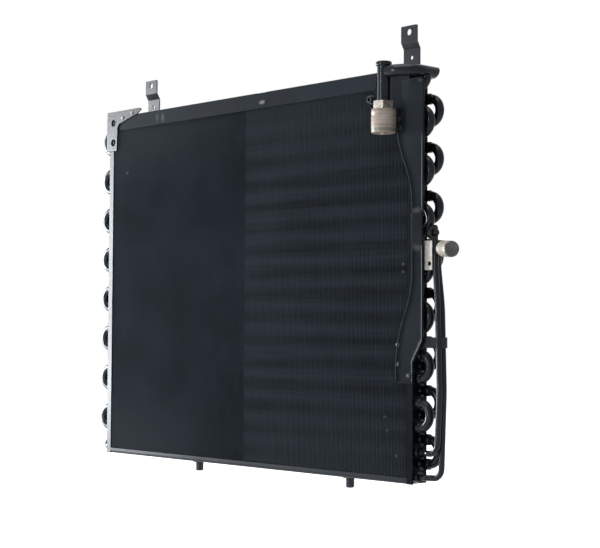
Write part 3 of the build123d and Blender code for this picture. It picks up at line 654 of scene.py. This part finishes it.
def cap_plastic(name, colour, rough, base, axis, bands):
    """Milky plastic: light goes a little way in, and slow noise clouds its tone. What shows
    through it, or soils it, are bands = (from, to, amount, tone), in millimetres along the
    axis from the base, each with soft edges."""
    plastic = bpy.data.materials.new(name)
    plastic.use_nodes = True
    net = plastic.node_tree
    shader = net.nodes["Principled BSDF"]
    shader.inputs["Roughness"].default_value = rough
    shader.inputs["Subsurface Weight"].default_value = 0.35
    shader.inputs["Subsurface Radius"].default_value = (0.004, 0.003, 0.002)
    shader.inputs["Subsurface Scale"].default_value = 1.0
    shader.inputs["Coat Weight"].default_value = 0.1
    where = net.nodes.new("ShaderNodeTexCoord")
    cloud = net.nodes.new("ShaderNodeTexNoise")
    cloud.inputs["Scale"].default_value = 90.0
    cloud.inputs["Detail"].default_value = 3.0
    net.links.new(where.outputs["Object"], cloud.inputs["Vector"])
    tone = net.nodes.new("ShaderNodeValToRGB")
    tone.color_ramp.elements[0].position = 0.25
    tone.color_ramp.elements[1].position = 0.75
    tone.color_ramp.elements[0].color = (*[c * 0.8 for c in colour], 1)
    tone.color_ramp.elements[1].color = (*[min(1, c * 1.15) for c in colour], 1)
    net.links.new(cloud.outputs["Fac"], tone.inputs["Fac"])
    axis = np.asarray(axis, float)
    start = (np.asarray(base, float) - ORIGIN) @ axis / 1000
    along = net.nodes.new("ShaderNodeVectorMath")
    along.operation = "DOT_PRODUCT"
    along.inputs[1].default_value = axis.tolist()
    net.links.new(where.outputs["Object"], along.inputs[0])
    last = tone.outputs["Color"]
    for low, high, amount, shade in bands:
        middle = start + (low + high) / 2000
        half = (high - low) / 2000
        off = net.nodes.new("ShaderNodeMath")
        off.operation = "SUBTRACT"
        off.inputs[1].default_value = middle
        net.links.new(along.outputs["Value"], off.inputs[0])
        size = net.nodes.new("ShaderNodeMath")
        size.operation = "ABSOLUTE"
        net.links.new(off.outputs[0], size.inputs[0])
        last = blend(net, last, size.outputs[0], half * 0.7, half, amount, 0.0, shade)
    net.links.new(last, shader.inputs["Base Color"])
    return plastic


def turned(profile, base, axis, corners, ribs=0, rib_height=0.0):
    """A turned shape. For each (along, radius, ribbed) of the profile and each angle t, the
    radius grows by ribbed times rib_height cos(ribs t), and the point lies that far from the
    axis, along it from the base."""
    axis = np.asarray(axis, float) / np.linalg.norm(axis)
    first = np.cross(axis, [0, 0, 1] if abs(axis[2]) < 0.9 else [1, 0, 0])
    first /= np.linalg.norm(first)
    second = np.cross(axis, first)
    angle = np.linspace(0, 2 * pi, corners, endpoint=False)
    along, radius, ribbed = np.array(profile, float).T[..., None]
    radius = radius + ribbed * rib_height * np.cos(ribs * angle)
    points = (np.asarray(base, float) + along[..., None] * axis
              + (radius * np.cos(angle))[..., None] * first
              + (radius * np.sin(angle))[..., None] * second)
    return points.reshape(-1, 3), grid_faces(len(along), corners)


CAP_TOP = (CORE_W - 19.2, -19.0, 389.0)
inlet_plastic = cap_plastic(
    "inlet_cap_plastic", (0.275, 0.222, 0.186), 0.42, CAP_TOP, (0, 0, -1),
    [(-1.0, 3.0, 0.5, (0.11, 0.08, 0.065)), (5.6, 6.9, 0.25, (0.10, 0.08, 0.07)),
     (8.6, 9.6, 0.2, (0.10, 0.08, 0.07)), (11.4, 12.4, 0.2, (0.10, 0.08, 0.07)),
     (15.6, 19.0, 0.45, (0.09, 0.10, 0.08)), (19.6, 24.0, 0.75, (0.06, 0.07, 0.055))])
cup = [(0.0, 9.6, 0), (0.0, 12.7, 0), (0.4, 13.0, 0), (5.6, 13.1, 0), (6.2, 12.7, 0),
       (7.2, 12.7, 0), (7.8, 13.1, 1), (22.4, 13.0, 1), (23.6, 12.9, 0), (24.4, 12.5, 0),
       (24.8, 11.7, 0), (24.9, 10.4, 0), (24.9, 2.2, 0), (25.4, 1.9, 0), (26.0, 1.4, 0),
       (26.1, 0.0, 0), (23.4, 0.0, 0), (23.2, 9.6, 0), (0.0, 9.6, 0)]
points, quads = turned(cup, CAP_TOP, (0, 0, -1), 144, 36, 0.08)
cap = put("inlet_cap_shell", points, quads, inlet_plastic)
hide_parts("inlet_cap")

# The outlet's cap is a smaller cup of the same plastic. It points outwards, a little forward
# and down, and its closed end is dark.
turn, drop = radians(-26), radians(-4)
axis = np.array([cos(turn) * cos(drop), sin(turn) * cos(drop), sin(drop)])
foot = np.array([CORE_W + 37.4, (0.4 + 13.9) / 2, 243.0])
outlet_plastic = cap_plastic(
    "outlet_cap_plastic", (0.235, 0.213, 0.183), 0.42, foot + axis * 6.6, axis,
    [(-1.0, 3.4, 0.45, (0.13, 0.10, 0.075)), (21.7, 26.0, 0.97, (0.034, 0.030, 0.032))])
shell = [(0.0, 6.0, 0), (0.0, 7.6, 0), (0.6, 8.1, 0), (3.0, 8.3, 0), (3.5, 8.0, 0), (4.2, 8.0, 0),
         (4.6, 8.2, 1), (20.5, 8.3, 1), (22.4, 8.2, 0), (23.2, 7.8, 0), (23.5, 7.2, 0),
         (23.5, 6.6, 0), (22.6, 6.1, 0), (22.5, 0.0, 0), (20.0, 0.0, 0), (19.8, 6.0, 0),
         (0.0, 6.0, 0)]
points, quads = turned(shell, foot + axis * 6.6, axis, 120, 30, 0.18)
cap = put("outlet_cap_shell", points, quads, outlet_plastic)
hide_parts("outlet_cap")

# Two thin steel pipes gather the liquid from the lowest tubes and rise to the outlet block.
# A strap holds them half way up, and a bolt clamps the block.
for name in ("front_outlet_pipe", "rear_outlet_pipe", "outlet_block", "outlet_fitting",
             "outlet_bolt", "pipe_clip"):
    dress(name, tube_paint)

# The block's upper end is a round lug about its clamp bolt, machined with broken edges.
lug = [(0.0, 0.0, 0), (0.0, 5.6, 0), (0.3, 6.3, 0), (1.0, 6.6, 0), (5.6, 6.6, 0), (6.4, 6.3, 0),
       (6.8, 5.6, 0), (6.8, 0.0, 0)]
points, quads = turned(lug, (CORE_W + 24.6, 5.0, 259.5), (1, 0, 0), 48)
put("outlet_lug", points, quads, tube_paint)

# The tab that the block is bolted to is zinc plated steel sheet with one hole.
tab_metal = plated("tab_zinc", (0.30, 0.292, 0.278), (0.19, 0.183, 0.17), 0.5)
dress("outlet_plate", tab_metal)

bpy.context.scene.view_settings.view_transform = "Standard"
